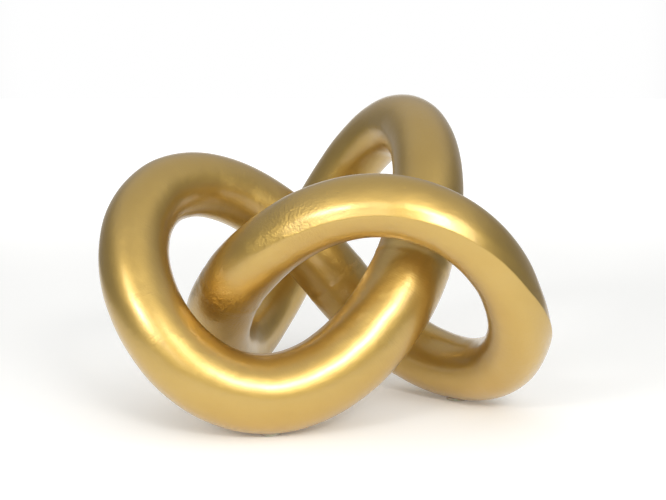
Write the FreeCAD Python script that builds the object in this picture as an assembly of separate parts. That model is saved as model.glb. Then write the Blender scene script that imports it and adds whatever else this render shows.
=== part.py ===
import FreeCAD, Part
import math
import os

# A table sculpture: one thick round tube that runs round a three-lobed knot and closes on itself.
# Each lobe is a pair of hollow cast half shells, welded along two seams. The three lobes are
# pushed over sleeves and welded end to end, and each stands on a pad under its lowest point.
# Frame: +X right, +Y away from the front, +Z up, origin on the floor under the middle of the knot.
# Lengths are millimetres and angles are degrees.

# Route of the tube's centre line, lobe by lobe. A waist is how far the tube's inner turns stand
# from the middle. A gap is left in plan between a lobe's bend and the turn that passes inside it.
right_waist = 55.0
left_waist = 41.5
back_waist = 67.0
right_gap = 24.05
left_gap = 9.81
back_gap = 31.23
right_half_height = 54.5
left_half_height = 63.5
back_half_height = 75.0
right_turn = -30.2
left_turn = -35.4
back_turn = -24.3
narrow_ring_share = 0.093
square_swing_share = 0.245
steep_fall_share = 0.108
late_crown_share = -0.036

# Tube
right_tube_radius = 18.3
left_tube_radius = 21.2
back_tube_radius = 20.2
crossing_swell_share = -0.045
climb_swell_share = 0.044
shell_wall = 4.0

# Seams between the upper and lower half shells
seam_angle = -8.0
seam_weld_width = 3.0
seam_weld_depth_share = 0.6

# Edge left on the right lobe where its outer seam was dressed. The flank on each side of it is
# flatter than the tube by this share of the tube's radius.
crease_flatness_share = 1.0
crease_spread = 30.0
crease_begin = -56.0
crease_full = -40.0
crease_ease = 18.0
crease_end = 52.0

# Butt joints between the lobes
joint_weld_width = 6.0
joint_weld_depth_share = 0.75
joint_weld_proud = 0.15
sleeve_half_length = 18.0
sleeve_wall = 2.5
sleeve_clearance = 0.15

# Pads
pad_radius = 6.0
pad_clearance = 0.2
pad_pocket_depth_share = 0.3
pad_proud = 0.6

# Counts and steps that size nothing
shell_stations = 24
sleeve_stations = 4
search_steps = 480
level_passes = 12
tangent_step = 1e-4
cut_overrun_share = 0.4

# The lobes share the whole turn of the route alike, with a joint between each two.
lobe_names = ("right", "left", "back")
joint_names = ("right_left", "left_back", "back_right")
lobe_half_span = 180 / len(lobe_names)
lobe_middles = [2 * lobe_half_span * number for number in range(len(lobe_names))]
joint_angles = [middle + lobe_half_span for middle in lobe_middles]
waists = (right_waist, left_waist, back_waist)
gaps = (right_gap, left_gap, back_gap)
reaches = []
half_heights = (right_half_height, left_half_height, back_half_height)
turns = (right_turn, left_turn, back_turn)
tube_radii = (right_tube_radius, left_tube_radius, back_tube_radius)
lifts = [0.0, 0.0, 0.0]
shift = [0.0, 0.0]
seam_weld_depth = shell_wall * seam_weld_depth_share
joint_weld_depth = shell_wall * joint_weld_depth_share
pad_pocket_depth = shell_wall * pad_pocket_depth_share


def blend(values, angle):
    """Pass from each lobe's own value to the next one's on the way round the knot."""
    total = sum(values) / len(values)
    for value, middle in zip(values, lobe_middles):
        total += 2 / len(values) * value * math.cos(math.radians(angle - middle))
    return total


def tube_radius(angle):
    swell = crossing_swell_share * math.cos(math.radians(3 * angle))
    swell += climb_swell_share * math.sin(math.radians(3 * angle))
    return blend(tube_radii, angle) * (1 + swell)


def reach(middle, gap):
    """How far out a lobe's bend goes, to clear the turn that passes inside it."""
    inner_turn = middle + 180
    return blend(waists, inner_turn) + tube_radius(inner_turn) + gap + tube_radius(middle)


def centre_line(angle):
    """The route is a wide ring run twice, with a swing run once the other way."""
    ring = (blend(reaches, angle) + blend(waists, angle)) / 2
    swing = (blend(reaches, angle) - blend(waists, angle)) / 2
    turn = blend(turns, angle)
    x = 0.0
    y = 0.0
    parts = (
        (ring * (1 - narrow_ring_share), 2),
        (ring * narrow_ring_share, -4),
        (swing * (1 - square_swing_share), -1),
        (swing * square_swing_share, 5),
    )
    for size, rate in parts:
        x += size * math.cos(math.radians(turn + rate * angle))
        y += size * math.sin(math.radians(turn + rate * angle))
    wave = (1 - steep_fall_share) * math.sin(math.radians(3 * angle))
    wave += steep_fall_share * math.sin(math.radians(6 * angle))
    wave += late_crown_share * math.cos(math.radians(3 * angle))
    z = blend(lifts, angle) - blend(half_heights, angle) * wave
    return FreeCAD.Vector(x + shift[0], y + shift[1], z)


def tangent(angle):
    ahead = centre_line(angle + tangent_step) - centre_line(angle - tangent_step)
    return ahead.normalize()


def across(angle, turned):
    """Direction square to the tube: 0 is level and outward, 90 is as near up as the tube allows."""
    along = tangent(angle)
    level = along.cross(FreeCAD.Vector(0, 0, 1)).normalize()
    upward = level.cross(along)
    return level * math.cos(math.radians(turned)) + upward * math.sin(math.radians(turned))


def wall_point(angle, turned, radius):
    return centre_line(angle) + across(angle, turned) * radius


def lobe_low(middle):
    """The angle where a lobe comes lowest, and that point of its underside."""
    low_angle = middle
    low = wall_point(middle, -90, tube_radius(middle))
    for step in range(search_steps + 1):
        angle = middle + lobe_half_span * step / search_steps
        point = wall_point(angle, -90, tube_radius(angle))
        if point.z < low.z:
            low_angle = angle
            low = point
    return low_angle, low


def stand_level():
    """Lift each lobe until all three touch one plane, just above the floor."""
    for level_pass in range(level_passes):
        lows = [lobe_low(middle)[1].z for middle in lobe_middles]
        for number, low in enumerate(lows):
            lifts[number] += pad_proud - low


def stand_central():
    """Move the knot sideways until its box is centred on the origin."""
    angles = [360 * step / (3 * search_steps) for step in range(3 * search_steps)]
    for axis in (0, 1):
        lowest = []
        highest = []
        for angle in angles:
            half = tube_radius(angle) * math.sqrt(1 - tangent(angle)[axis] ** 2)
            edge = flank_point(angle, seam_angle, 1, 0, 0.0)[axis]
            lowest.append(min(centre_line(angle)[axis] - half, edge))
            highest.append(max(centre_line(angle)[axis] + half, edge))
        shift[axis] -= (min(lowest) + max(highest)) / 2


def smooth_rise(value, begin, end):
    share = min(max((value - begin) / (end - begin), 0), 1)
    return share * share * (3 - 2 * share)


def crease_at(angle):
    """Flatness beside the dressed edge on the right lobe's outer seam. It fades at both ends."""
    local = (angle + 180) % 360 - 180
    rise = smooth_rise(local, crease_begin, crease_full)
    fall = smooth_rise(local, crease_ease, crease_end)
    return crease_flatness_share * rise * (1 - fall)


def flank(angle, seam, side):
    """Centre, radius and edge angles of the arc that runs from a seam to the round of the tube."""
    radius = tube_radius(angle)
    extra = radius * crease_at(angle) if seam == seam_angle else 0.0
    spread = math.radians(crease_spread)
    middle = wall_point(angle, seam + side * crease_spread, -extra)
    flat_radius = radius + extra
    lean = math.degrees(math.asin(extra * math.sin(spread) / flat_radius))
    return middle, flat_radius, seam + side * lean, seam + side * crease_spread


def flank_point(angle, seam, side, share, inward):
    """A point of the flank: share 0 is the seam line, 1 is where it meets the round."""
    middle, radius, first, last = flank(angle, seam, side)
    turned = first + (last - first) * share
    return middle + across(angle, turned) * (radius - inward)


def weld_edge_share(angle, seam, side):
    middle, radius, first, last = flank(angle, seam, side)
    turned = math.degrees(seam_weld_width / 2 / radius)
    return turned / abs(last - first)


def arc(first, between, last):
    return Part.Arc(first, between, last).toShape()


def line(first, last):
    return Part.LineSegment(first, last).toShape()


def flank_arc(angle, seam, side, first_share, last_share):
    ends = [flank_point(angle, seam, side, share, 0.0) for share in (first_share, last_share)]
    between = flank_point(angle, seam, side, (first_share + last_share) / 2, 0.0)
    return arc(ends[0], between, ends[1])


def shell_section(angle, side):
    """Cut through one half shell: two bevelled edges, the round outside and the round inside."""
    radius = tube_radius(angle)
    outer_seam = seam_angle
    inner_seam = seam_angle + 180
    top = seam_angle + side * 90
    outer_edge = weld_edge_share(angle, outer_seam, side)
    inner_edge = weld_edge_share(angle, inner_seam, -side)
    outer_root = wall_point(angle, outer_seam, radius - seam_weld_depth)
    inner_root = wall_point(angle, inner_seam, radius - seam_weld_depth)
    outer_bore = wall_point(angle, outer_seam, radius - shell_wall)
    inner_bore = wall_point(angle, inner_seam, radius - shell_wall)
    outer_lip = flank_point(angle, outer_seam, side, outer_edge, 0.0)
    inner_lip = flank_point(angle, inner_seam, -side, inner_edge, 0.0)
    outer_round = flank_point(angle, outer_seam, side, 1, 0.0)
    inner_round = flank_point(angle, inner_seam, -side, 1, 0.0)
    return Part.Wire([
        line(outer_bore, outer_root),
        line(outer_root, outer_lip),
        flank_arc(angle, outer_seam, side, outer_edge, 1),
        arc(outer_round, wall_point(angle, top, radius), inner_round),
        flank_arc(angle, inner_seam, -side, 1, inner_edge),
        line(inner_lip, inner_root),
        line(inner_root, inner_bore),
        arc(inner_bore, wall_point(angle, top, radius - shell_wall), outer_bore),
    ])


def seam_section(angle, seam):
    """Cut through a seam weld: a groove filled and dressed flush, to an edge where one is left."""
    radius = tube_radius(angle)
    root = wall_point(angle, seam, radius - seam_weld_depth)
    above = weld_edge_share(angle, seam, 1)
    below = weld_edge_share(angle, seam, -1)
    return Part.Wire([
        line(root, flank_point(angle, seam, 1, above, 0.0)),
        flank_arc(angle, seam, 1, above, 0),
        flank_arc(angle, seam, -1, 0, below),
        line(flank_point(angle, seam, -1, below, 0.0), root),
    ])


def lobe_angles(middle):
    step = 2 * lobe_half_span / shell_stations
    return [middle - lobe_half_span + step * number for number in range(shell_stations + 1)]


def half_shell(middle, side):
    return Part.makeLoft([shell_section(angle, side) for angle in lobe_angles(middle)], True)


def seam_weld(middle, seam):
    return Part.makeLoft([seam_section(angle, seam) for angle in lobe_angles(middle)], True)


def joint_groove(angle, overrun):
    """Ring with a V section round a butt joint, its open side carried out past the tube."""
    radius = tube_radius(angle)
    middle = centre_line(angle)
    along = tangent(angle)
    out = across(angle, 0)
    reach = joint_weld_depth + overrun
    half_width = joint_weld_width / 2 * reach / joint_weld_depth
    root = middle + out * (radius - joint_weld_depth)
    first = root + out * reach - along * half_width
    last = root + out * reach + along * half_width
    face = Part.Face(Part.Wire([line(root, first), line(first, last), line(last, root)]))
    return face.revolve(middle, along, 360)


def joint_weld(angle):
    """The weld in that groove, dressed to a low crown."""
    radius = tube_radius(angle)
    middle = centre_line(angle)
    along = tangent(angle)
    out = across(angle, 0)
    root = middle + out * (radius - joint_weld_depth)
    first = middle + out * radius - along * joint_weld_width / 2
    crown = middle + out * (radius + joint_weld_proud)
    last = middle + out * radius + along * joint_weld_width / 2
    face = Part.Face(Part.Wire([line(root, first), arc(first, crown, last), line(last, root)]))
    return face.revolve(middle, along, 360)


def ring_section(angle, radius):
    circle = Part.Circle(centre_line(angle), tangent(angle), radius)
    return Part.Wire([circle.toShape()])


def sleeve(joint_angle):
    """Short bent pipe inside the joint, a slide fit in both lobes."""
    speed = (centre_line(joint_angle + 1) - centre_line(joint_angle - 1)).Length / 2
    half_span = sleeve_half_length / speed
    angles = []
    for number in range(sleeve_stations + 1):
        angles.append(joint_angle + half_span * (2 * number / sleeve_stations - 1))
    outside = []
    inside = []
    for angle in angles:
        radius = tube_radius(angle) - shell_wall - sleeve_clearance
        outside.append(ring_section(angle, radius))
        inside.append(ring_section(angle, radius - sleeve_wall))
    return Part.makeLoft(outside, True).cut(Part.makeLoft(inside, True))


def pad_cylinder(point, radius):
    height = pad_proud + pad_pocket_depth
    return Part.makeCylinder(radius, height, FreeCAD.Vector(point.x, point.y, 0))


def write(name, shape):
    shape.exportStep("parts/" + name + ".step")
    print(name, len(shape.Solids), "solids", round(shape.Volume), "mm3", shape.isValid())


os.makedirs("parts", exist_ok=True)
reaches.extend(reach(middle, gap) for middle, gap in zip(lobe_middles, gaps))
stand_level()
stand_central()

grooves = [joint_groove(angle, joint_weld_depth * cut_overrun_share) for angle in joint_angles]
for number, lobe in enumerate(lobe_names):
    middle = lobe_middles[number]
    low = lobe_low(middle)[1]
    tools = [grooves[number], grooves[number - 1]]
    pocket = pad_cylinder(low, pad_radius + pad_clearance)
    write(lobe + "_upper_shell", half_shell(middle, 1).cut(tools))
    write(lobe + "_lower_shell", half_shell(middle, -1).cut(tools + [pocket]))
    write(lobe + "_outer_seam_weld", seam_weld(middle, seam_angle).cut(tools))
    write(lobe + "_inner_seam_weld", seam_weld(middle, seam_angle + 180).cut(tools))
    write(lobe + "_pad", pad_cylinder(low, pad_radius))

for joint, angle in zip(joint_names, joint_angles):
    write(joint + "_sleeve", sleeve(angle))
    write(joint + "_joint_weld", joint_weld(angle))
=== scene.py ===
import bpy
import math
import numpy as np
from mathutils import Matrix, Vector


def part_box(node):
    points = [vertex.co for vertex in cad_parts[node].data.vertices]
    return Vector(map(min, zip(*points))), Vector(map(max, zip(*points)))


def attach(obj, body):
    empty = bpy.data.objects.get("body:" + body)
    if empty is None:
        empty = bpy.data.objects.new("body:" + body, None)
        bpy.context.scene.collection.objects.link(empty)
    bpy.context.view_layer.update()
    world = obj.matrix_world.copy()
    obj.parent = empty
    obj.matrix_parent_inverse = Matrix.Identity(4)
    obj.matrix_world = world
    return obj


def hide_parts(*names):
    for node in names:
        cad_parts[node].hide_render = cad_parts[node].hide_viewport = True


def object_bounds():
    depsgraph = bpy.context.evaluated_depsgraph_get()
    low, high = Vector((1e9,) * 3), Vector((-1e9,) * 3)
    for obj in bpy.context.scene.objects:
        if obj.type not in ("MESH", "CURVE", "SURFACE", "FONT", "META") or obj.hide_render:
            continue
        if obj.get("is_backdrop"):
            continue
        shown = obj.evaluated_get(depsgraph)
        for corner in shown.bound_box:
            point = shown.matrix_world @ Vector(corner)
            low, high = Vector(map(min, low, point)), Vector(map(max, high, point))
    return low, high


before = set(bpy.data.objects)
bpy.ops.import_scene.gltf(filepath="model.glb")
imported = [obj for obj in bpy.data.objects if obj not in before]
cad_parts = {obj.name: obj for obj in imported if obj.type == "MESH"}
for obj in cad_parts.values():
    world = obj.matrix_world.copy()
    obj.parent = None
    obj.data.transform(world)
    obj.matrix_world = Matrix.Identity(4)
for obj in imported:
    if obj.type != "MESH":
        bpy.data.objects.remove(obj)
cad_low, cad_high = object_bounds()

# Joint sleeves
# Three short bent pipes hold the lobes in line inside their butt joints. They are plain drawn
# aluminium tube, cut, bent to the route and left with the mill finish, as nothing shows of them.
sleeve_names = ("right_left_sleeve", "left_back_sleeve", "back_right_sleeve")
mill_finish_colour = "#C9CACB"
mill_gloss_least = 0.28
mill_gloss_most = 0.44
drawing_grain = 0.0006


def linear(hex_colour):
    """An sRGB hex colour as the four linear values that a shader socket takes."""
    values = []
    for start in (1, 3, 5):
        value = int(hex_colour[start:start + 2], 16) / 255
        values.append(value / 12.92 if value <= 0.04045 else ((value + 0.055) / 1.055) ** 2.4)
    return (*values, 1.0)


def new_material(name):
    """A material with its Principled shader, ready for nodes."""
    material = bpy.data.materials.new(name)
    material.use_nodes = True
    return material, material.node_tree.nodes["Principled BSDF"]


def add_node(material, kind, settings=None, inputs=None, links=None):
    """Adds a node, sets its properties and sockets, and links other nodes' outputs into it."""
    tree = material.node_tree
    node = tree.nodes.new(kind)
    for name, value in (settings or {}).items():
        setattr(node, name, value)
    for name, value in (inputs or {}).items():
        node.inputs[name].default_value = value
    for name, (source, output) in (links or {}).items():
        tree.links.new(source.outputs[output], node.inputs[name])
    return node


def link(material, source, output, target, socket):
    material.node_tree.links.new(source.outputs[output], target.inputs[socket])


# Drawn tube keeps a fine grain from its die, which breaks the gloss up a little.
mill_finish_aluminium, shader = new_material("drawn_aluminium_mill_finish")
shader.inputs["Base Color"].default_value = linear(mill_finish_colour)
shader.inputs["Metallic"].default_value = 1.0
place = add_node(mill_finish_aluminium, "ShaderNodeTexCoord")
grain = add_node(mill_finish_aluminium, "ShaderNodeTexNoise",
                 inputs={"Scale": 1 / drawing_grain, "Detail": 3.0},
                 links={"Vector": (place, "Object")})
gloss = add_node(mill_finish_aluminium, "ShaderNodeMapRange",
                 inputs={"To Min": mill_gloss_least, "To Max": mill_gloss_most},
                 links={"Value": (grain, "Fac")})
link(mill_finish_aluminium, gloss, "Result", shader, "Roughness")
for name in sleeve_names:
    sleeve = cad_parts[name]
    sleeve.data.materials.clear()
    sleeve.data.materials.append(mill_finish_aluminium)

# Half-shell castings
# Each lobe is an upper and a lower half shell of sand-cast aluminium with a 4 mm wall. Their edges
# are bevelled for the seam welds. After welding, the tube is linished across its length by hand and
# sprayed with a satin gold lacquer, so the same slightly uneven skin runs over castings and welds.
lobe_names = ("right", "left", "back")
lobe_middles = (0.0, 120.0, 240.0)
lobe_half_span = 60.0
joint_names = ("right_left", "left_back", "back_right")
joint_angles = (60.0, 180.0, 300.0)
reaches = (0.1180, 0.1170, 0.1130)
waists = (0.0550, 0.0415, 0.0670)
half_heights = (0.0545, 0.0635, 0.0750)
turns = (-30.2, -35.4, -24.3)
tube_radii = (0.0183, 0.0212, 0.0202)
narrow_ring_share = 0.093
square_swing_share = 0.245
steep_fall_share = 0.108
late_crown_share = -0.036
crossing_swell_share = -0.045
climb_swell_share = 0.044
shell_wall = 0.004
seam_angle = -8.0
seam_weld_width = 0.003
seam_weld_depth = 0.0024
joint_weld_width = 0.006
joint_weld_depth = 0.003
joint_weld_proud = 0.00015
pad_proud = 0.0006

# The dressed edge that shows along the outer seam of the right lobe: how flat and wide the flank
# below it is, how the facet above it leans back and rejoins the round, and from where to where it
# runs. Its line wavers a little where the grinder was held unevenly.
crease_flatness_share = 1.0
crease_spread = 30.0
crease_tilt = 25.0
crease_facet = 14.0
crease_recover = 30.0
crease_top = 105.0
crease_begin = -56.0
crease_full = -38.0
crease_ease = 12.0
crease_end = 46.0
crease_softness = 1.2
crease_start_softness = 14.0
crease_wander_at = (-48.0, -40.0, -30.0, -22.0, -15.0, -9.0, -4.0, 2.0, 10.0)
crease_wander = (0.0, -4.5, -5.5, -2.5, 3.0, 3.5, -1.5, -1.5, 0.0)

# Shallow hollows left by hand linishing: waves along the route, waves round the tube, depth and
# where they start.
linished_hollows = (
    (11, 1, 0.00035, 0.4),
    (26, 2, 0.00022, 2.1),
    (43, 1, 0.00012, 4.4),
    (61, 3, 0.00010, 1.3),
)

# Round each joint, and where the sharp edge begins, the skin was dressed by hand too: how far
# along, how strongly at each place, how deep its dents are, and how they run along and round.
dressing_reach = 0.018
dressing_angles = (*joint_angles, -41.0)
dressing_shares = (0.5, 0.1, 1.0, 0.7)
dent_depth = 0.00012
dent_pitch = 0.017
dent_waves = 5
dent_bend = 1.9
dent_bend_waves = 2
route_length_per_degree = 0.0026

shell_rows = 230
shell_columns = 44
seam_crowding_share = 0.10
facet_steps = 420
level_passes = 12
level_steps = 480
box_rows = 1440
box_columns = 120
route_steps = 3600
route_margin = 10.0
tangent_step = 0.01
turn_step = 0.05
route_start = -lobe_half_span
route_end = 360 - lobe_half_span


def blend(values, angle):
    """Pass from each lobe's own value to the next one's on the way round the knot."""
    total = sum(values) / len(values)
    for value, middle in zip(values, lobe_middles):
        total = total + 2 / len(values) * value * np.cos(np.radians(angle - middle))
    return total


def tube_radius(angle):
    swell = crossing_swell_share * np.cos(np.radians(3 * angle))
    swell = swell + climb_swell_share * np.sin(np.radians(3 * angle))
    return blend(tube_radii, angle) * (1 + swell)


lifts = [0.0, 0.0, 0.0]
shift = np.zeros(3)


def centre_line(angle):
    """The route is a wide ring run twice, with a swing run once the other way."""
    ring = (blend(reaches, angle) + blend(waists, angle)) / 2
    swing = (blend(reaches, angle) - blend(waists, angle)) / 2
    turn = blend(turns, angle)
    x = 0.0
    y = 0.0
    parts = (
        (ring * (1 - narrow_ring_share), 2),
        (ring * narrow_ring_share, -4),
        (swing * (1 - square_swing_share), -1),
        (swing * square_swing_share, 5),
    )
    for size, rate in parts:
        x = x + size * np.cos(np.radians(turn + rate * angle))
        y = y + size * np.sin(np.radians(turn + rate * angle))
    wave = (1 - steep_fall_share) * np.sin(np.radians(3 * angle))
    wave = wave + steep_fall_share * np.sin(np.radians(6 * angle))
    wave = wave + late_crown_share * np.cos(np.radians(3 * angle))
    z = blend(lifts, angle) - blend(half_heights, angle) * wave
    return np.stack([x, y, z], axis=-1) + shift


def unit(vectors):
    return vectors / np.linalg.norm(vectors, axis=-1, keepdims=True)


def directions(angle):
    """Along the tube, level and outward, and as near up as the tube allows."""
    along = unit(centre_line(angle + tangent_step) - centre_line(angle - tangent_step))
    level = unit(np.cross(along, (0.0, 0.0, 1.0)))
    return along, level, np.cross(level, along)


def wall_point(angle, turned, radius):
    """turned runs round the tube from the outer seam: 0 there, 180 at the inner seam."""
    along, level, upward = directions(angle)
    around = np.radians(seam_angle + turned)[..., None]
    out = level * np.cos(around) + upward * np.sin(around)
    return centre_line(angle) + out * np.asarray(radius)[..., None]


def smooth_rise(value, begin, end):
    share = np.clip((value - begin) / (end - begin), 0, 1)
    return share * share * (3 - 2 * share)


# Above the edge the skin starts with a narrow facet, leant back from the tube's round, and then
# curves up to rejoin the round. The radius follows from how far the skin leans at each turn.
facet_turns = np.linspace(0, crease_top, facet_steps + 1)
facet_lean = crease_tilt - np.minimum(facet_turns, crease_facet)
facet_lean = facet_lean * (1 - smooth_rise(facet_turns, crease_facet, crease_top))
facet_step = np.radians(facet_turns[1] - facet_turns[0])
facet_fall = np.concatenate([[0.0], np.cumsum(np.tan(np.radians(facet_lean[1:])) * facet_step)])
crease_edge = np.sqrt((1 + crease_flatness_share) ** 2
                      - (crease_flatness_share * np.sin(np.radians(crease_spread))) ** 2)
crease_edge = crease_edge - crease_flatness_share * np.cos(np.radians(crease_spread))
facet_gain = facet_fall[-1] - np.log(crease_edge)
facet_gain = facet_gain * smooth_rise(facet_turns, crease_recover, crease_top)
facet_shares = crease_edge * np.exp(facet_gain - facet_fall)


def creased_radius(angle, turned):
    """The tube's radius with the dressed edge: a facet above the seam and a flat flank below."""
    local = (angle + 180) % 360 - 180
    fade = smooth_rise(local, crease_begin, crease_full)
    fade = fade * (1 - smooth_rise(local, crease_ease, crease_end))
    off_seam = (turned + 180) % 360 - 180 - np.interp(local, crease_wander_at, crease_wander)
    softness = crease_softness + crease_start_softness * (1 - fade)
    round_off = np.radians(np.sqrt(off_seam ** 2 + softness ** 2))
    spread = np.radians(crease_spread)
    lean = np.minimum(round_off, spread) - spread
    flat = 1 + crease_flatness_share
    below = np.sqrt(flat ** 2 - (crease_flatness_share * np.sin(lean)) ** 2)
    below = below - crease_flatness_share * np.cos(lean)
    above = np.interp(np.degrees(round_off), facet_turns, facet_shares)
    rise = (1 + off_seam / np.sqrt(off_seam ** 2 + softness ** 2)) / 2
    share = below + (above - below) * rise
    return tube_radius(angle) * (1 + fade * (share - 1))


def dressing(angle):
    """How strongly the skin was dressed, from 0 where it is smooth to 1 at the roughest joint."""
    total = 0.0
    for place, share in zip(dressing_angles, dressing_shares):
        off_place = (angle - place + 180) % 360 - 180
        run = off_place * route_length_per_degree
        total = total + share * np.exp(-(run / dressing_reach) ** 2)
    return total


def skin_radius(angle, turned):
    """The creased tube less what linishing and dressing took away."""
    radius = creased_radius(angle, turned)
    along = 2 * np.pi * angle * route_length_per_degree / dent_pitch
    dents = np.sin(along + dent_bend * np.sin(np.radians(dent_bend_waves * turned)))
    dents = dents * np.cos(np.radians(dent_waves * turned))
    radius = radius - dent_depth * dressing(angle) * (1 + dents) / 2
    for along_waves, round_waves, depth, phase in linished_hollows:
        wave = np.cos(np.radians(along_waves * angle) + phase)
        wave = wave * np.cos(np.radians(round_waves * turned) + 2 * phase)
        radius = radius - depth * (1 + wave) / 2
    return radius


def skin(angle, turned):
    return wall_point(angle, turned, skin_radius(angle, turned))


def skin_normal(angle, turned, surface):
    """The outward direction of a skin, from points a hair apart on it."""
    along = surface(angle + tangent_step, turned) - surface(angle - tangent_step, turned)
    around = surface(angle, turned + turn_step) - surface(angle, turned - turn_step)
    return unit(np.cross(along, around))


# Level the knot on its three low points, then centre it on the frame's box.
lobe_angles = np.linspace(0.0, lobe_half_span, level_steps + 1)
for level_pass in range(level_passes):
    lows = []
    for middle in lobe_middles:
        under = wall_point(middle + lobe_angles, np.full_like(lobe_angles, -90 - seam_angle),
                           tube_radius(middle + lobe_angles))
        lows.append(under[:, 2].min())
    for number, low in enumerate(lows):
        lifts[number] += pad_proud - low
all_angles, all_turned = np.meshgrid(np.linspace(route_start, route_end, box_rows + 1),
                                     np.linspace(0, 360, box_columns + 1))
outline = wall_point(all_angles, all_turned, creased_radius(all_angles, all_turned))
middle_of_box = (outline.min(axis=(0, 1)) + outline.max(axis=(0, 1))) / 2
shift[:2] = (np.array(cad_low) + np.array(cad_high))[:2] / 2 - middle_of_box[:2]

# Distance run along the route, so that rows of points and the finish keep an even spacing.
route_angles = np.linspace(route_start - route_margin, route_end + route_margin, route_steps + 1)
route_strides = np.linalg.norm(np.diff(centre_line(route_angles), axis=0), axis=1)
route_runs = np.concatenate([[0.0], np.cumsum(route_strides)])
route_runs -= np.interp(route_start, route_angles, route_runs)


def run_at(angle):
    return np.interp(angle, route_angles, route_runs)


def angle_at(run):
    return np.interp(run, route_runs, route_angles)


def lobe_rows(middle):
    """Evenly spaced rows from one butt weld's edge to the next."""
    first = run_at(middle - lobe_half_span) + joint_weld_width / 2
    last = run_at(middle + lobe_half_span) - joint_weld_width / 2
    return angle_at(np.linspace(first, last, shell_rows + 1))


def seam_edge(angle):
    """How far round the tube a seam weld reaches to each side of its seam."""
    return np.degrees(seam_weld_width / 2 / tube_radius(angle))


def tube_place(angle, turned):
    """Run along the tube and place round it, in metres, as if the tube lay straight."""
    radius = tube_radius(angle)
    around = np.radians(turned)
    return np.stack([run_at(angle), radius * np.cos(around), radius * np.sin(around)], axis=-1)


def build_mesh(name, points, faces, normals, places, material, nodes):
    """Makes the piece, gives it its own smooth normals, and sets it in the frame.

    A sweep's faces look into the metal as they come, so each is turned round here.
    """
    mesh = bpy.data.meshes.new(name)
    outward_faces = [face[::-1] for face in faces]
    mesh.from_pydata(points.tolist(), [], outward_faces)
    mesh.update()
    mesh.shade_smooth()
    attribute = mesh.attributes.new("tube_place", "FLOAT_VECTOR", "POINT")
    attribute.data.foreach_set("vector", places.astype(np.float32).ravel())
    attribute = mesh.attributes.new("dressing", "FLOAT", "POINT")
    attribute.data.foreach_set("value", dressing(angle_at(places[:, 0])).astype(np.float32))
    corner_points = np.empty(len(mesh.loops), dtype=np.int32)
    mesh.loops.foreach_get("vertex_index", corner_points)
    mesh.normals_split_custom_set(normals[corner_points].tolist())
    mesh.materials.append(material)
    piece = bpy.data.objects.new(name, mesh)
    bpy.context.scene.collection.objects.link(piece)
    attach(piece, "root")
    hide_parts(*nodes)
    return piece


def sweep_faces(rows, ring):
    """Quads between neighbouring rings of points, each ring closed on itself."""
    faces = []
    for row in range(rows - 1):
        for column in range(ring):
            after = (column + 1) % ring
            first = row * ring + column
            second = row * ring + after
            faces.append((first, second, second + ring, first + ring))
    return faces


def half_shell(lobe, middle, half, material):
    """One half shell: skin, bevelled edges and bore, swept from joint to joint.

    Its points are crowded a little towards the seams, where the dressed edge is sharp.
    """
    angles = lobe_rows(middle)
    edge = seam_edge(angles)
    share = np.linspace(0, 1, shell_columns + 1)
    share = share - seam_crowding_share * np.sin(2 * np.pi * share) / np.pi
    side = 1 if half == "upper" else -1
    turned = side * (edge[:, None] + (180 - 2 * edge[:, None]) * share[None, :])
    grid = np.repeat(angles[:, None], shell_columns + 1, axis=1)
    outer = skin(grid, turned)
    outer_normals = skin_normal(grid, turned, skin)
    bore_turned = side * 180 * share[None, :] + np.zeros_like(grid)
    bore = wall_point(grid, bore_turned, tube_radius(grid) - shell_wall)
    root_radius = tube_radius(angles[:, None]) - seam_weld_depth
    start_root = wall_point(angles[:, None], np.zeros((len(angles), 1)), root_radius)
    end_root = wall_point(angles[:, None], np.full((len(angles), 1), 180.0 * side), root_radius)
    ring = np.concatenate([outer, end_root, bore[:, ::-1], start_root], axis=1)
    ring_turned = np.concatenate([turned, np.full_like(angles[:, None], 180.0 * side),
                                  bore_turned[:, ::-1], np.zeros_like(angles[:, None])], axis=1)
    size = ring.shape[1]
    normals = np.zeros_like(ring)
    normals[:, :shell_columns + 1] = outer_normals
    ring_angles = np.repeat(angles[:, None], size, axis=1)
    places = tube_place(ring_angles, ring_turned)
    faces = sweep_faces(len(angles), size)
    for row, order in ((0, 1), (len(angles) - 1, -1)):
        for column in range(shell_columns):
            base = row * size
            quad = (base + column, base + 2 * shell_columns + 2 - column,
                    base + 2 * shell_columns + 1 - column, base + column + 1)
            faces.append(quad[::order])
        first = (base, base + size - 1, base + size - 2)
        last = (base + shell_columns, base + shell_columns + 2, base + shell_columns + 1)
        faces.append(first[::order])
        faces.append(last[::order])
    if side < 0:
        faces = [face[::-1] for face in faces]
    name = f"{lobe}_{half}_shell"
    return build_mesh(f"{name}_cast_skin", ring.reshape(-1, 3), faces, normals.reshape(-1, 3),
                      places.reshape(-1, 3), material, [name])


# Satin metallic lacquer over linished castings: a warm gold flake under a clear film. The belt left
# fine marks across the tube that show in patches, the spray left peel and a few pits, and the skin
# is grainy and lumpy where it was dressed. The finest marks are drawn as coarse as they need to show.
lacquer_colour = "#CDAC5E"
lacquer_deep_colour = "#C6A24E"
flake_gloss_least = 0.38
flake_gloss_most = 0.46
film_gloss = 0.22
film_ior = 1.6
mottle_size = 0.022
linish_mark_width = 0.0009
linish_mark_length = 0.007
mark_patch_begin = 0.46
mark_patch_full = 0.60
mark_patch_least = 0.25
grain_size = 0.0009
smooth_grain_share = 0.35
lump_size = 0.0013
lump_depth = 0.00045
orange_peel_size = 0.0055
orange_peel_depth = 0.00012
pit_spacing = 0.011
pit_bottom_share = 0.03
pit_rim_share = 0.06
pit_depth = 0.00008
casting_mark_depth = 0.00013
casting_grain_depth = 0.00016


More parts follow.
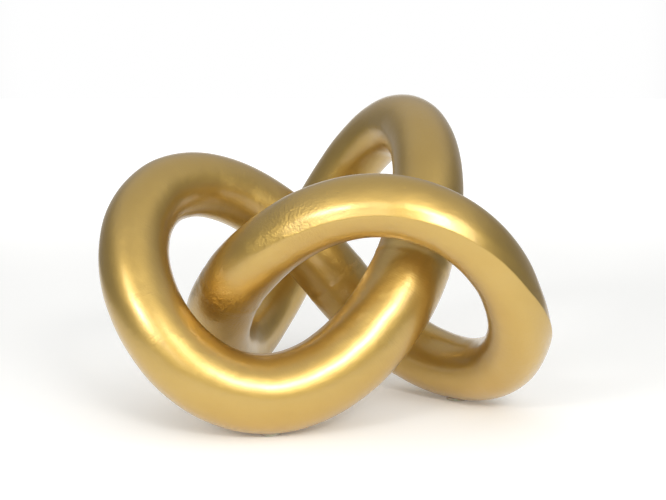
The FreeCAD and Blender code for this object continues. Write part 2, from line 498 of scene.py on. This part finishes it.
def gold_lacquer(name, mark_depth, grain_depth):
    """Metallic lacquer: colour mottling, linishing marks across the tube, grain, peel and pits."""
    material, shader = new_material(name)
    shader.inputs["Metallic"].default_value = 1.0
    shader.inputs["Coat Weight"].default_value = 1.0
    shader.inputs["Coat Roughness"].default_value = film_gloss
    shader.inputs["Coat IOR"].default_value = film_ior
    place = add_node(material, "ShaderNodeAttribute", {"attribute_name": "tube_place"})
    mottle = add_node(material, "ShaderNodeTexNoise",
                      inputs={"Scale": 1 / mottle_size, "Detail": 4.0},
                      links={"Vector": (place, "Vector")})
    colour = add_node(material, "ShaderNodeMix", {"data_type": "RGBA"},
                      {6: linear(lacquer_deep_colour), 7: linear(lacquer_colour)},
                      {0: (mottle, "Fac")})
    link(material, colour, 2, shader, "Base Color")
    stretch = add_node(material, "ShaderNodeVectorMath", {"operation": "MULTIPLY"},
                       {1: (1 / linish_mark_width, 1 / linish_mark_length, 1 / linish_mark_length)},
                       {0: (place, "Vector")})
    marks = add_node(material, "ShaderNodeTexNoise", inputs={"Scale": 1.0, "Detail": 3.0},
                     links={"Vector": (stretch, "Vector")})
    patches = add_node(material, "ShaderNodeMapRange", {"interpolation_type": "SMOOTHSTEP"},
                       {"From Min": mark_patch_begin, "From Max": mark_patch_full,
                        "To Min": mark_patch_least, "To Max": 1.0}, {"Value": (mottle, "Fac")})
    patchy_marks = add_node(material, "ShaderNodeMath", {"operation": "MULTIPLY"},
                            links={0: (marks, "Fac"), 1: (patches, "Result")})
    grain = add_node(material, "ShaderNodeTexNoise",
                     inputs={"Scale": 1 / grain_size, "Detail": 2.0},
                     links={"Vector": (place, "Vector")})
    peel = add_node(material, "ShaderNodeTexNoise",
                    inputs={"Scale": 1 / orange_peel_size, "Detail": 1.0},
                    links={"Vector": (place, "Vector")})
    pits = add_node(material, "ShaderNodeTexVoronoi", inputs={"Scale": 1 / pit_spacing},
                    links={"Vector": (place, "Vector")})
    pit = add_node(material, "ShaderNodeMapRange",
                   inputs={"From Min": pit_bottom_share, "From Max": pit_rim_share},
                   links={"Value": (pits, "Distance")})
    gloss = add_node(material, "ShaderNodeMapRange",
                     inputs={"To Min": flake_gloss_least, "To Max": flake_gloss_most},
                     links={"Value": (marks, "Fac")})
    link(material, gloss, "Result", shader, "Roughness")
    dressed = add_node(material, "ShaderNodeAttribute", {"attribute_name": "dressing"})
    lumps = add_node(material, "ShaderNodeTexNoise", inputs={"Scale": 1 / lump_size, "Detail": 2.0},
                     links={"Vector": (place, "Vector")})
    dressed_lumps = add_node(material, "ShaderNodeMath", {"operation": "MULTIPLY"},
                             links={0: (lumps, "Fac"), 1: (dressed, "Fac")})
    grain_share = add_node(material, "ShaderNodeMapRange", inputs={"To Min": smooth_grain_share},
                           links={"Value": (dressed, "Fac")})
    uneven_grain = add_node(material, "ShaderNodeMath", {"operation": "MULTIPLY"},
                            links={0: (grain, "Fac"), 1: (grain_share, "Result")})
    layers = (
        (peel, "Fac", orange_peel_depth),
        (dressed_lumps, "Value", lump_depth),
        (patchy_marks, "Value", mark_depth),
        (uneven_grain, "Value", grain_depth),
        (pit, "Result", pit_depth),
    )
    bump = None
    for source, output, depth in layers:
        links = {"Height": (source, output)}
        if bump is not None:
            links["Normal"] = (bump, "Normal")
        bump = add_node(material, "ShaderNodeBump", inputs={"Strength": 1.0, "Distance": depth},
                        links=links)
    link(material, bump, "Normal", shader, "Normal")
    return material


casting_lacquer = gold_lacquer("gold_lacquer_on_linished_casting",
                               casting_mark_depth, casting_grain_depth)
for lobe, middle in zip(lobe_names, lobe_middles):
    for half in ("upper", "lower"):
        half_shell(lobe, middle, half, casting_lacquer)

# Seam welds
# Aluminium filler closes each lobe's two seams. It is ground flush with the skin, and on the right
# lobe's outer seam it was dressed to an edge that still shows through the lacquer.
seam_columns = 14


def seam_weld(lobe, middle, seam, material):
    angles = lobe_rows(middle)
    share = np.linspace(-1, 1, seam_columns + 1)
    centre = 0.0 if seam == "outer" else 180.0
    turned = centre + seam_edge(angles)[:, None] * share[None, :]
    grid = np.repeat(angles[:, None], seam_columns + 1, axis=1)
    outer = skin(grid, turned)
    root = wall_point(angles[:, None], np.full((len(angles), 1), centre),
                      tube_radius(angles[:, None]) - seam_weld_depth)
    ring = np.concatenate([outer, root], axis=1)
    size = seam_columns + 2
    normals = np.zeros_like(ring)
    normals[:, :seam_columns + 1] = skin_normal(grid, turned, skin)
    ring_turned = np.concatenate([turned, np.full((len(angles), 1), centre)], axis=1)
    places = tube_place(np.repeat(angles[:, None], size, axis=1), ring_turned)
    faces = sweep_faces(len(angles), size)
    faces.append(tuple(range(size))[::-1])
    faces.append(tuple((len(angles) - 1) * size + number for number in range(size)))
    name = f"{lobe}_{seam}_seam_weld"
    return build_mesh(f"{name}_dressed", ring.reshape(-1, 3), faces, normals.reshape(-1, 3),
                      places.reshape(-1, 3), material, [name])


for lobe, middle in zip(lobe_names, lobe_middles):
    for seam in ("outer", "inner"):
        seam_weld(lobe, middle, seam, casting_lacquer)

# Joint welds
# A ring of filler closes each butt joint between two lobes. It was ground by hand to a low crown,
# and its uneven ripple can be felt and, on two of the three, seen under the lacquer.
joint_rows = 14
joint_columns = 220
weld_mark_depth = 0.00015
weld_grain_depth = 0.00018


def joint_weld(joint, middle, material):
    start = run_at(middle)
    offsets = np.linspace(-1, 1, joint_rows + 1) * joint_weld_width / 2
    turned = np.linspace(0, 360, joint_columns, endpoint=False)
    angles, around = np.meshgrid(angle_at(start + offsets), turned, indexing="ij")

    def crowned_skin(angle, turned):
        across = (run_at(angle) - start) / (joint_weld_width / 2)
        crown = joint_weld_proud * (1 - across ** 2) ** 2
        return wall_point(angle, turned, skin_radius(angle, turned) + crown)

    outer = crowned_skin(angles, around)
    root_radius = tube_radius(np.full((1, joint_columns), middle)) - joint_weld_depth
    root = wall_point(np.full((1, joint_columns), middle), turned[None, :], root_radius)
    rows = np.concatenate([outer, root], axis=0)
    normals = np.zeros_like(rows)
    normals[:-1] = skin_normal(angles, around, crowned_skin)
    row_angles = np.concatenate([angles, np.full((1, joint_columns), middle)], axis=0)
    row_turned = np.concatenate([around, turned[None, :]], axis=0)
    faces = sweep_faces(joint_rows + 2, joint_columns)
    last = (joint_rows + 1) * joint_columns
    for column in range(joint_columns):
        after = (column + 1) % joint_columns
        faces.append((last + column, last + after, after, column))
    name = f"{joint}_joint_weld"
    return build_mesh(f"{name}_crown", rows.reshape(-1, 3), faces, normals.reshape(-1, 3),
                      tube_place(row_angles, row_turned).reshape(-1, 3), material,
                      [name])


# The same lacquer, over filler that was ground more coarsely than the castings.
weld_lacquer = gold_lacquer("gold_lacquer_on_dressed_weld", weld_mark_depth, weld_grain_depth)
for joint, angle in zip(joint_names, joint_angles):
    joint_weld(joint, angle, weld_lacquer)

# Pads
# Three self-adhesive discs of milky clear silicone, moulded with a rounded rim, keep the metal off
# the table. Their shallow pockets aren't cut into the skin here, so it hides the discs' tops.
pad_rim = 0.0004
pad_rim_steps = 4
pad_segments = 64
silicone_colour = "#D9D6CB"
silicone_ior = 1.41
silicone_gloss = 0.45
silicone_milkiness = 0.3
silicone_scatter = 0.002
silicone_grain = 0.0012
silicone_grain_depth = 0.00002

# Moulded silicone is satin and slightly see-through, with a faint grain from its mould.
clear_silicone, shader = new_material("moulded_milky_silicone")
shader.inputs["Base Color"].default_value = linear(silicone_colour)
shader.inputs["IOR"].default_value = silicone_ior
shader.inputs["Roughness"].default_value = silicone_gloss
shader.inputs["Subsurface Weight"].default_value = silicone_milkiness
shader.inputs["Subsurface Scale"].default_value = silicone_scatter
place = add_node(clear_silicone, "ShaderNodeTexCoord")
grain = add_node(clear_silicone, "ShaderNodeTexNoise", inputs={"Scale": 1 / silicone_grain},
                 links={"Vector": (place, "Object")})
bump = add_node(clear_silicone, "ShaderNodeBump",
                inputs={"Strength": 1.0, "Distance": silicone_grain_depth},
                links={"Height": (grain, "Fac")})
link(clear_silicone, bump, "Normal", shader, "Normal")

for lobe in lobe_names:
    low, high = (np.array(corner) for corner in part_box(f"{lobe}_pad"))
    centre = (low + high) / 2
    radius = (high[0] - low[0]) / 2
    outline = []
    for step in range(pad_rim_steps + 1):
        lean = math.radians(90 * step / pad_rim_steps)
        outline.append((radius - pad_rim + pad_rim * math.sin(lean),
                        low[2] + pad_rim * (1 - math.cos(lean))))
    outline.append((radius, high[2]))
    points = []
    for distance, height in outline:
        for segment in range(pad_segments):
            turn = 2 * math.pi * segment / pad_segments
            points.append((centre[0] + distance * math.cos(turn),
                           centre[1] + distance * math.sin(turn), height))
    top_ring = (len(outline) - 1) * pad_segments
    faces = sweep_faces(len(outline), pad_segments)
    faces.append(tuple(range(pad_segments))[::-1])
    faces.append(tuple(top_ring + number for number in range(pad_segments)))
    mesh = bpy.data.meshes.new(f"{lobe}_pad_disc")
    mesh.from_pydata(points, [], faces)
    mesh.materials.append(clear_silicone)
    pad = bpy.data.objects.new(f"{lobe}_pad_disc", mesh)
    bpy.context.scene.collection.objects.link(pad)
    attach(pad, "root")
    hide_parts(f"{lobe}_pad")

# Floor
# A wide sheet of matt white board with a faint grain. Its colour carries painted shade: it is grey at
# the sides, around a painted pool of light that widens towards the back. In that pool the camera and
# the metal see a painted glow, faint near the object and strong farther out.
floor_reach = 6.0
board_colour = "#F4F4F2"
painted_side_shade_colour = "#8C8C8A"
painted_pool_half_width = 0.12
painted_shade_begin = 0.85
painted_pool_spread_share = -0.25
near_painted_glow = 0.13
far_painted_glow = 0.6
near_reach = 0.25
far_reach = 1.6
board_roughness = 0.9
board_sheen_share = 0.1
board_grain = 0.002
board_grain_depth = 0.00005

white_board, shader = new_material("matt_white_board")
shader.inputs["Roughness"].default_value = board_roughness
shader.inputs["Specular IOR Level"].default_value = board_sheen_share
path = add_node(white_board, "ShaderNodeLightPath")
seen = add_node(white_board, "ShaderNodeMath", {"operation": "MAXIMUM"},
                links={0: (path, "Is Camera Ray"), 1: (path, "Is Glossy Ray")})
seen = add_node(white_board, "ShaderNodeMath", {"operation": "MAXIMUM"},
                links={0: (seen, "Value"), 1: (path, "Is Transmission Ray")})
place = add_node(white_board, "ShaderNodeTexCoord")
away = add_node(white_board, "ShaderNodeVectorMath", {"operation": "LENGTH"},
                links={0: (place, "Object")})
# Painted glow: the board glows faintly near the object and more strongly farther out.
glow = add_node(white_board, "ShaderNodeMapRange", {"interpolation_type": "SMOOTHSTEP"},
                {"From Min": near_reach, "From Max": far_reach,
                 "To Min": near_painted_glow, "To Max": far_painted_glow},
                {"Value": (away, "Value")})
sides = add_node(white_board, "ShaderNodeSeparateXYZ", links={"Vector": (place, "Object")})
sideways = add_node(white_board, "ShaderNodeMath", {"operation": "ABSOLUTE"},
                    links={0: (sides, "X")})
sideways = add_node(white_board, "ShaderNodeMath", {"operation": "MULTIPLY_ADD"},
                    {1: painted_pool_spread_share}, {0: (sides, "Y"), 2: (sideways, "Value")})
# Painted pool of light: the full board colour in the middle, blending to a painted grey shade at the
# sides.
lit = add_node(white_board, "ShaderNodeMapRange", {"interpolation_type": "SMOOTHSTEP"},
               {"From Min": painted_pool_half_width, "From Max": painted_shade_begin, "To Min": 1.0, "To Max": 0.0},
               {"Value": (sideways, "Value")})
tone = add_node(white_board, "ShaderNodeMix", {"data_type": "RGBA"},
                {6: linear(painted_side_shade_colour), 7: linear(board_colour)}, {0: (lit, "Result")})
link(white_board, tone, 2, shader, "Base Color")
# The painted glow shows only inside the painted pool, and only to camera, glossy and transmission
# rays.
glow = add_node(white_board, "ShaderNodeMath", {"operation": "MULTIPLY"},
                links={0: (lit, "Result"), 1: (glow, "Result")})
glow = add_node(white_board, "ShaderNodeMath", {"operation": "MULTIPLY"},
                links={0: (seen, "Value"), 1: (glow, "Value")})
shader.inputs["Emission Color"].default_value = (1.0, 1.0, 1.0, 1.0)
link(white_board, glow, "Value", shader, "Emission Strength")
fibres = add_node(white_board, "ShaderNodeTexNoise",
                  inputs={"Scale": 1 / board_grain, "Detail": 2.0},
                  links={"Vector": (place, "Object")})
bump = add_node(white_board, "ShaderNodeBump",
                inputs={"Strength": 1.0, "Distance": board_grain_depth},
                links={"Height": (fibres, "Fac")})
link(white_board, bump, "Normal", shader, "Normal")
corners = [(-floor_reach, -floor_reach, 0), (floor_reach, -floor_reach, 0),
           (floor_reach, floor_reach, 0), (-floor_reach, floor_reach, 0)]
floor_mesh = bpy.data.meshes.new("floor")
floor_mesh.from_pydata(corners, [], [(0, 1, 2, 3)])
floor_mesh.materials.append(white_board)
floor = bpy.data.objects.new("floor", floor_mesh)
bpy.context.scene.collection.objects.link(floor)
floor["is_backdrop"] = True

# Room
# A white backdrop behind, a pale ceiling, and dimmer sides, as in a small studio. Each begins and
# is full at the given share of the way from level to straight back or straight up.
backdrop_light = 1.0
backdrop_begin_share = 0.93
backdrop_full_share = 0.975
ceiling_light = 0.62
ceiling_begin_share = 0.4
ceiling_full_share = 0.8
side_light = 0.26
rear_light = 0.44
rear_begin_share = 0.55
rear_full_share = 0.85

world = bpy.data.worlds.new("studio_room")
bpy.context.scene.world = world
world.use_nodes = True
background = world.node_tree.nodes["Background"]
place = add_node(world, "ShaderNodeTexCoord")
axes = add_node(world, "ShaderNodeSeparateXYZ", links={"Vector": (place, "Generated")})
behind = add_node(world, "ShaderNodeMapRange", {"interpolation_type": "SMOOTHSTEP"},
                  {"From Min": backdrop_begin_share, "From Max": backdrop_full_share},
                  {"Value": (axes, "Y")})
above = add_node(world, "ShaderNodeMapRange", {"interpolation_type": "SMOOTHSTEP"},
                 {"From Min": ceiling_begin_share, "From Max": ceiling_full_share},
                 {"Value": (axes, "Z")})
rear = add_node(world, "ShaderNodeMapRange", {"interpolation_type": "SMOOTHSTEP"},
                {"From Min": rear_begin_share, "From Max": rear_full_share,
                 "To Min": side_light, "To Max": rear_light},
                {"Value": (axes, "Y")})
top = add_node(world, "ShaderNodeMix", {"data_type": "FLOAT"}, {3: ceiling_light},
               {0: (above, "Result"), 2: (rear, "Result")})
back = add_node(world, "ShaderNodeMix", {"data_type": "FLOAT"}, {3: backdrop_light},
                {0: (behind, "Result"), 2: (top, 0)})
background.inputs["Color"].default_value = (1.0, 1.0, 1.0, 1.0)
link(world, back, 0, background, "Strength")

# Lamps
# Two soft boxes stand either side of the camera and well above it. Each has a brighter spot, made
# as a small lamp of its own, where the bulb shows through the cloth. A wide overhead cloth fills
# the shadows.

# Each lamp's name, degrees to the right of the camera's side, degrees above level, distance, width,
# height and brightness.
softboxes = (
    ("right_softbox", 25.0, 29.0, 1.5, 1.10, 0.80, 2.4),
    ("left_softbox", -31.0, 25.5, 1.5, 0.92, 0.66, 2.1),
    ("right_softbox_bulb", 20.0, 28.5, 1.45, 0.38, 0.20, 21.0),
    ("left_softbox_bulb", -35.0, 25.0, 1.45, 0.32, 0.18, 20.0),
)
aim = np.array((0.0, 0.0, 0.09))
overhead_size = 6.0
overhead_height = 3.0
overhead_brightness = 0.31


def look_at(item, target):
    direction = Vector(target) - item.location
    item.rotation_euler = direction.to_track_quat("-Z", "Y").to_euler()


overhead = bpy.data.lights.new("overhead_softbox", "AREA")
overhead.size = overhead_size
overhead.energy = overhead_brightness * math.pi * overhead_size ** 2
item = bpy.data.objects.new("overhead_softbox", overhead)
item.location = (0.0, 0.0, overhead_height)
item.visible_glossy = False
bpy.context.scene.collection.objects.link(item)

for name, swing, height, distance, width, tall, brightness in softboxes:
    lamp = bpy.data.lights.new(name, "AREA")
    lamp.shape = "RECTANGLE"
    lamp.size = width
    lamp.size_y = tall
    lamp.energy = brightness * math.pi * width * tall
    item = bpy.data.objects.new(name, lamp)
    bpy.context.scene.collection.objects.link(item)
    turn = math.radians(swing)
    lift = math.radians(height)
    item.location = (math.sin(turn) * math.cos(lift) * distance,
                     -math.cos(turn) * math.cos(lift) * distance,
                     aim[2] + math.sin(lift) * distance)
    look_at(item, aim)

# Camera
# The photograph's view: nine degrees above the table, with a short telephoto lens.
camera_elevation = 9.17
camera_distance = 0.7747
focal_pixels = 1313.0
image_width = 666
object_right_pixels = -3.7
object_down_pixels = 20.8
sensor_width = 36.0

camera_data = bpy.data.cameras.new("camera")
camera_data.sensor_width = sensor_width
camera_data.lens = focal_pixels / image_width * sensor_width
camera_data.shift_x = -object_right_pixels / image_width
camera_data.shift_y = object_down_pixels / image_width
camera = bpy.data.objects.new("camera", camera_data)
bpy.context.scene.collection.objects.link(camera)
lean = math.radians(camera_elevation)
target = np.array([shift[0], shift[1], sum(lifts) / 3])
camera.location = (target[0], target[1] - camera_distance * math.cos(lean),
                   target[2] + camera_distance * math.sin(lean))
camera.rotation_euler = (math.pi / 2 - lean, 0.0, 0.0)
bpy.context.scene.camera = camera
bpy.context.scene.view_settings.view_transform = "Standard"

low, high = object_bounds()
